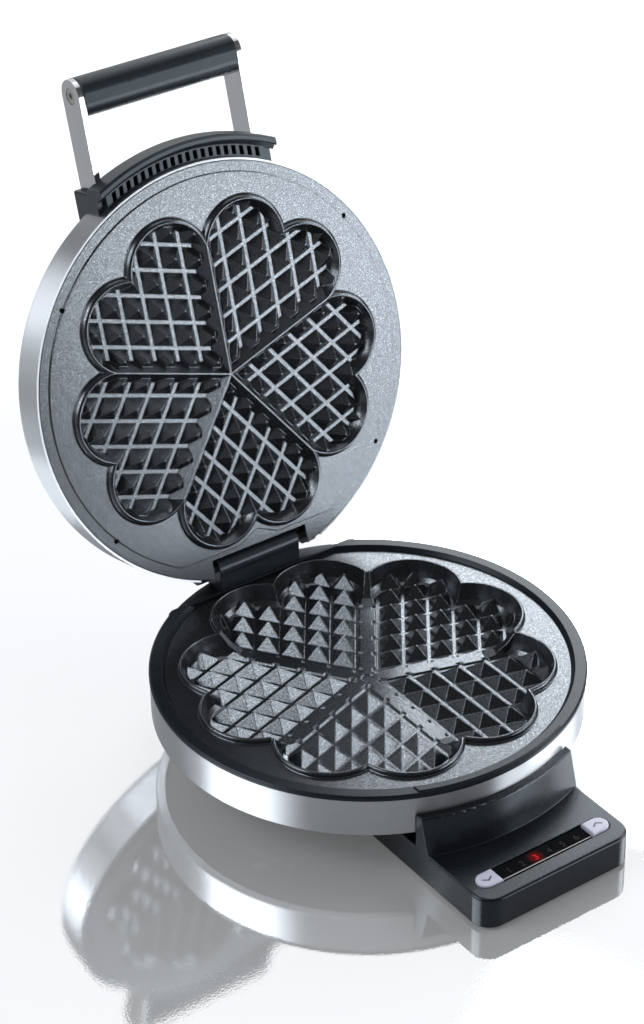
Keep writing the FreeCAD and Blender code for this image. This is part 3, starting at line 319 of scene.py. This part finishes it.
terminal_finish = moulded_plastic("terminal_cream", TERMINAL_CREAM, roughness=0.5, grain=2400.0, reach=0.0004,
                                  sheen=0.5, edge_highlight_gain=1.2)
dress(terminal_finish, "terminal_block")


# Display window: a smoked acrylic strip let into the deck, with a pale line painted along its front edge as a
# highlight. Six numbers are printed on it and the third one is lit red; a soft red glow spreads round it.
LENS_BLACK = (0.004, 0.004, 0.005)
LENS_TOP = 0.0173
LENS_FRONT = -0.1431
LENS_SHEEN = 0.01
HIGHLIGHT_PALE = (0.46, 0.43, 0.41)
HIGHLIGHT_SPAN = 0.004
HIGHLIGHT_STOPS = ((0.30, 0.0), (0.34, 1.0), (0.42, 1.0), (0.46, 0.0))
PANEL_Y = -0.138
DIGITS = 6
DIGIT_PITCH = 0.008
DIGIT_SIZE = 0.0052
DIGIT_LIFT = 0.00002
DIGIT_THICK = 0.00001
DIGIT_ROUGHNESS = 0.25
LIT_DIGIT = 3
LIT_RED = (0.62, 0.015, 0.015)
LIT_LEVEL = 0.45
GLOW_REACH = (0.0012, 0.0048)
GLOW_LEVEL = 0.16
DIM_INK = (0.036, 0.038, 0.042)


def digit_x(number):
    return DIGIT_PITCH * (number - (DIGITS + 1) / 2)


lens_finish, tree, shader, place = new_finish("smoked_lens", 0.0, 0.06)
wipe = speckle(tree, place, 220.0, detail=3.0)
smoke = ramp(tree, wipe, [(0.3, LENS_BLACK), (0.8, scaled(LENS_BLACK, 1.8))])
split = put(tree, "SeparateXYZ", [("Vector", place)])
# A pale strip painted into the lens colour along its front edge: a painted highlight.
back = spread(tree, split.outputs["Y"], (LENS_FRONT, LENS_FRONT + HIGHLIGHT_SPAN), (0.0, 1.0))
painted_highlight = ramp(tree, back, [(at, (share, share, share)) for at, share in HIGHLIGHT_STOPS])
lit_spot = (digit_x(LIT_DIGIT), PANEL_Y, LENS_TOP)
away = put(tree, "VectorMath", [(0, place), (1, lit_spot)], operation="DISTANCE").outputs["Value"]
tree.links.new(blend(tree, painted_highlight, smoke, (*HIGHLIGHT_PALE, 1.0)), shader.inputs["Base Color"])
tree.links.new(spread(tree, away, GLOW_REACH, (GLOW_LEVEL, 0.0)), shader.inputs["Emission Strength"])
tree.links.new(spread(tree, wipe, (0.0, 1.0), (0.02, 0.05)), shader.inputs["Roughness"])
shader.inputs["Emission Color"].default_value = (*LIT_RED, 1.0)
shader.inputs["Specular IOR Level"].default_value = LENS_SHEEN
dress(lens_finish, "display_lens")

ink_finish, tree, shader, place = new_finish("dim_digit_print", 0.0, DIGIT_ROUGHNESS)
shader.inputs["Specular IOR Level"].default_value = LENS_SHEEN
ink = ramp(tree, speckle(tree, place, 5000.0), [(0.3, scaled(DIM_INK, 0.6)), (0.7, DIM_INK)])
tree.links.new(ink, shader.inputs["Base Color"])

lit_finish, tree, shader, place = new_finish("lit_digit_red", 0.0, DIGIT_ROUGHNESS)
shader.inputs["Specular IOR Level"].default_value = LENS_SHEEN
glow = ramp(tree, speckle(tree, place, 3000.0), [(0.3, scaled(LIT_RED, 0.7)), (0.7, LIT_RED)])
tree.links.new(glow, shader.inputs["Base Color"])
tree.links.new(glow, shader.inputs["Emission Color"])
shader.inputs["Emission Strength"].default_value = LIT_LEVEL

for number in range(1, DIGITS + 1):
    drawn = bpy.data.curves.new("digit_line_%d" % number, "FONT")
    drawn.body = str(number)
    drawn.size = DIGIT_SIZE
    drawn.align_x = "CENTER"
    drawn.align_y = "CENTER"
    drawn.extrude = DIGIT_THICK
    written = bpy.data.objects.new("digit_text_%d" % number, drawn)
    bpy.context.scene.collection.objects.link(written)
    bpy.context.view_layer.update()
    flat = bpy.data.meshes.new_from_object(written.evaluated_get(bpy.context.evaluated_depsgraph_get()))
    bpy.data.objects.remove(written)
    digit = bpy.data.objects.new("display_digit_%d" % number, flat)
    bpy.context.scene.collection.objects.link(digit)
    flat.transform(Matrix.Translation((digit_x(number), PANEL_Y, LENS_TOP + DIGIT_LIFT)))
    flat.materials.clear()
    flat.materials.append(lit_finish if number == LIT_DIGIT else ink_finish)
    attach(digit, "base")


# Push buttons: two glossy white caps at the ends of the window, each with a chevron moulded into its top and
# filled by a dark chevron piece standing just proud of it, down on the left and up on the right.
BUTTON_WHITE = (0.40, 0.40, 0.50)
BUTTON_X = 0.033
BUTTON_TOP = 0.0189
MARK_HALF = 0.0027
MARK_RISE = 0.0019
MARK_LINE = 0.0009
MARK_PROUD = 0.00002
MARK_DEEP = 0.00034
MARK_DARK = (0.02, 0.02, 0.035)

button_finish, tree, shader, place = new_finish("gloss_white_button", 0.0, 0.16)
shader.inputs["Coat Weight"].default_value = 0.5
shader.inputs["Coat Roughness"].default_value = 0.05
cloud = speckle(tree, place, 260.0, detail=3.0)
tint = ramp(tree, cloud, [(0.3, scaled(BUTTON_WHITE, 0.95)), (0.7, BUTTON_WHITE)])
tree.links.new(tint, shader.inputs["Base Color"])
dress(button_finish, "button_down", "button_up")

# Dark colour for the pieces that fill the chevron grooves.
chevron_fill_finish, tree, shader, place = new_finish("chevron_dark_fill", 0.0, 0.4)
fill_tone = ramp(tree, speckle(tree, place, 2500.0), [(0.3, MARK_DARK), (0.7, scaled(MARK_DARK, 1.8))])
tree.links.new(fill_tone, shader.inputs["Base Color"])

low, high = -MARK_RISE / 2, MARK_RISE / 2
chevron_outline = [(-MARK_HALF, low), (0.0, high), (MARK_HALF, low),
                   (MARK_HALF, low + MARK_LINE), (0.0, high + MARK_LINE), (-MARK_HALF, low + MARK_LINE)]

for body, side in (("button_down", -1.0), ("button_up", 1.0)):
    shape = bmesh.new()
    groove = [shape.verts.new((side * BUTTON_X + x, PANEL_Y + side * y, BUTTON_TOP - MARK_DEEP))
              for x, y in chevron_outline]
    raised = bmesh.ops.extrude_face_region(shape, geom=[shape.faces.new(groove)])
    bmesh.ops.translate(shape, vec=(0.0, 0.0, MARK_DEEP + MARK_PROUD),
                        verts=[v for v in raised["geom"] if isinstance(v, bmesh.types.BMVert)])
    bmesh.ops.recalc_face_normals(shape, faces=shape.faces)
    mesh = bpy.data.meshes.new(body + "_chevron")
    shape.to_mesh(mesh)
    shape.free()
    mesh.materials.append(chevron_fill_finish)
    chevron = bpy.data.objects.new(body + "_chevron", mesh)
    bpy.context.scene.collection.objects.link(chevron)
    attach(chevron, body)


# Hinge: a black moulded knuckle screwed to the base, and the lid's pressed bracket, painted to match, whose
# ears turn on the steel pin.
KNUCKLE_BLACK = (0.0085, 0.0105, 0.0135)

knuckle_finish = moulded_plastic("satin_black_knuckle", KNUCKLE_BLACK, roughness=0.30, grain=2600.0,
                                 reach=0.0006, sheen=0.5)
dress(knuckle_finish, "hinge_knuckle", "lid_hinge_bracket")


# Handle: a dark grey moulding on the front of the lid with a vented visor, two polished flat steel arms let
# into its sockets, and a satin grip screwed between them. The arms are polished lengthwise.
HANDLE_GREY = (0.0115, 0.0140, 0.0180)
GRIP_GREY = (0.0100, 0.0128, 0.0160)
ARM_STEEL = (0.70, 0.71, 0.73)
ARM_LINES = (2500.0, 25.0, 2500.0)

handle_finish = moulded_plastic("satin_grey_handle_base", HANDLE_GREY, roughness=0.30, grain=2600.0,
                                reach=0.0006, sheen=0.45)
dress(handle_finish, "handle_base")

grip_finish = moulded_plastic("satin_grey_grip", GRIP_GREY, roughness=0.30, grain=2600.0, reach=0.0008,
                              sheen=0.42)
dress(grip_finish, "handle_grip")

arm_finish, tree, shader, place = new_finish("polished_arm_steel", 1.0, 0.16)
lengthwise = put(tree, "VectorMath", [(0, shut_place(tree, place)), (1, ARM_LINES)], operation="MULTIPLY")
polish = speckle(tree, lengthwise.outputs[0], 1.0, detail=3.0)
bright = ramp(tree, polish, [(0.3, scaled(ARM_STEEL, 0.88)), (0.7, ARM_STEEL)])
tree.links.new(bright, shader.inputs["Base Color"])
tree.links.new(spread(tree, polish, (0.0, 1.0), (0.10, 0.24)), shader.inputs["Roughness"])
dress(arm_finish, "left_handle_arm", "right_handle_arm")


# Table: a glossy white sheet that mirrors the drum and keeps its shadow. It turns to plain white further out,
# for the camera only.
TABLE_REACH = 6.0
TABLE_DROP = 0.0003
TABLE_WHITE = (0.60, 0.605, 0.61)
TABLE_LIFT = 0.24
TABLE_MIRROR = 0.64
MIRROR_TINT = (0.975, 0.985, 1.0)
FAR_LIFT = 0.95
FAR_SPAN = (0.24, 0.64)

table = bmesh.new()
bmesh.ops.create_circle(table, cap_ends=True, segments=96, radius=TABLE_REACH)
bmesh.ops.translate(table, vec=(0.0, 0.0, -TABLE_DROP), verts=table.verts)
table_mesh = bpy.data.meshes.new("studio_table")
table.to_mesh(table_mesh)
table.free()
studio_table = bpy.data.objects.new("studio_table", table_mesh)
bpy.context.scene.collection.objects.link(studio_table)

table_finish = bpy.data.materials.new("gloss_white_table")
table_finish.use_nodes = True
tree = table_finish.node_tree
tree.nodes.clear()
rays = put(tree, "LightPath").outputs
in_metal = reckon(tree, "MAXIMUM", rays["Is Glossy Ray"], rays["Is Transmission Ray"])
near = reckon(tree, "MULTIPLY", reckon(tree, "MAXIMUM", rays["Is Camera Ray"], in_metal), TABLE_LIFT)
place = put(tree, "TexCoord").outputs["Object"]
distance = put(tree, "VectorMath", [(0, place)], operation="LENGTH").outputs["Value"]
far = spread(tree, distance, FAR_SPAN, (0.0, FAR_LIFT), "SMOOTHSTEP")
lift = reckon(tree, "MAXIMUM", near, reckon(tree, "MULTIPLY", rays["Is Camera Ray"], far))
matt = put(tree, "BsdfDiffuse", [("Color", (*TABLE_WHITE, 1.0))])
shine = put(tree, "Emission", [("Color", (1.0, 1.0, 1.0, 1.0)), ("Strength", lift)])
lit = put(tree, "AddShader", [(0, matt.outputs[0]), (1, shine.outputs[0])])
waves = speckle(tree, place, 900.0)
ripple = put(tree, "Bump", [("Strength", 0.5), ("Distance", 0.00002), ("Height", waves)])
mirror = put(tree, "BsdfGlossy", [("Color", (*MIRROR_TINT, 1.0)), ("Roughness", 0.0),
                                  ("Normal", ripple.outputs[0])])
surface = put(tree, "MixShader", [(0, TABLE_MIRROR), (1, lit.outputs[0]), (2, mirror.outputs[0])])
put(tree, "OutputMaterial", [("Surface", surface.outputs[0])])
table_mesh.materials.append(table_finish)


# Room: white to the camera and in the table's mirror. Metal and plastic see a pale wall behind the object and
# a dim room elsewhere, and deeper bounces see the dim room only.
REAR_WALL = (0.42, 0.75, 0.51)
WALL_SPAN = (0.55, 0.92)
WALL_LEVELS = (0.08, 0.85)
DEEP_LEVEL = 0.12
FILL_LEVEL = 0.30
FIRST_BOUNCES = 2.5
AIR_TINT = (0.985, 0.99, 1.0)

room = bpy.data.worlds.new("pale_studio")
bpy.context.scene.world = room
room.use_nodes = True
tree = room.node_tree
tree.nodes.clear()
rays = put(tree, "LightPath").outputs
towards = put(tree, "TexCoord").outputs["Generated"]
facing = put(tree, "VectorMath", [(0, towards), (1, REAR_WALL)], operation="DOT_PRODUCT").outputs["Value"]
wall = spread(tree, facing, WALL_SPAN, WALL_LEVELS, "SMOOTHSTEP")
first = reckon(tree, "LESS_THAN", rays["Ray Depth"], FIRST_BOUNCES)
glossy = put(tree, "Mix", [(0, first), (2, DEEP_LEVEL), (3, wall)]).outputs[0]
dim = put(tree, "Mix", [(0, rays["Is Glossy Ray"]), (2, FILL_LEVEL), (3, glossy)]).outputs[0]
in_table = reckon(tree, "MULTIPLY", first, rays["Is Singular Ray"])
through = reckon(tree, "MAXIMUM", rays["Is Camera Ray"], rays["Is Transmission Ray"])
level = reckon(tree, "MAXIMUM", dim, reckon(tree, "MAXIMUM", in_table, through))
air = put(tree, "Background", [("Color", (*AIR_TINT, 1.0)), ("Strength", level)])
put(tree, "OutputWorld", [("Surface", air.outputs[0])])


# Softboxes: cloth-fronted lamps on stands on the right, behind and on the left of the table, with a weak one
# overhead. Each has a place, a point it faces, a width and height, and the brightness of its cloth.
LAMP_TINT = (0.94, 0.975, 1.0)
DRUM_SPOT = (0.0, 0.0, 0.1)
LID_SPOT = (0.0, 0.1, 0.2)


def softbox(name, at, aim, size, brightness):
    lamp = bpy.data.lights.new(name, "AREA")
    lamp.shape = "RECTANGLE"
    lamp.size, lamp.size_y = size
    lamp.color = LAMP_TINT
    lamp.energy = brightness * math.pi * size[0] * size[1]
    held = bpy.data.objects.new(name, lamp)
    bpy.context.scene.collection.objects.link(held)
    held.location = at
    held.rotation_mode = "QUATERNION"
    held.rotation_quaternion = (Vector(aim) - Vector(at)).to_track_quat("-Z", "Y")


softbox("rear_right_softbox", (1.20, 0.96, 0.86), DRUM_SPOT, (0.9, 0.7), brightness=8.0)
softbox("right_softbox", (1.5, -0.50, 0.85), DRUM_SPOT, (1.0, 0.8), brightness=5.5)
softbox("front_right_softbox", (0.95, -1.02, 0.18), LID_SPOT, (0.9, 0.34), brightness=8.0)
softbox("left_softbox", (-1.25, 0.30, 1.05), DRUM_SPOT, (1.1, 0.9), brightness=5.9)
softbox("left_low_softbox", (-1.30, 0.40, 0.30), DRUM_SPOT, (1.1, 0.4), brightness=1.2)
softbox("overhead_softbox", (0.9, 0.4, 2.0), DRUM_SPOT, (1.4, 1.4), brightness=0.9)


# Camera: a long lens in front on the left, looking down on the open lid, with the slight roll that was solved
# from the drum's circles and the block's corners.
CAMERA_PLACE = (-0.6597, -0.9064, 0.8642)
AZIMUTH = math.radians(-34.95)
ELEVATION = math.radians(33.02)
ROLL = math.radians(-0.871)
SENSOR_MM = 36.0
LENS_MM = 98.47
SIGHT = 50.0

flat_reach = math.cos(ELEVATION)
backward = Vector((math.sin(AZIMUTH) * flat_reach, -math.cos(AZIMUTH) * flat_reach, math.sin(ELEVATION)))
level_right = Vector((math.cos(AZIMUTH), math.sin(AZIMUTH), 0.0))
level_up = backward.cross(level_right)
right = math.cos(ROLL) * level_right + math.sin(ROLL) * level_up
up = backward.cross(right)
long_lens = bpy.data.cameras.new("photo_camera")
long_lens.sensor_width = SENSOR_MM
long_lens.lens = LENS_MM
long_lens.clip_end = SIGHT
camera = bpy.data.objects.new("photo_camera", long_lens)
bpy.context.scene.collection.objects.link(camera)
camera.matrix_world = Matrix((right, up, backward)).transposed().to_4x4()
camera.location = CAMERA_PLACE
bpy.context.scene.camera = camera
bpy.context.scene.view_settings.view_transform = "Standard"
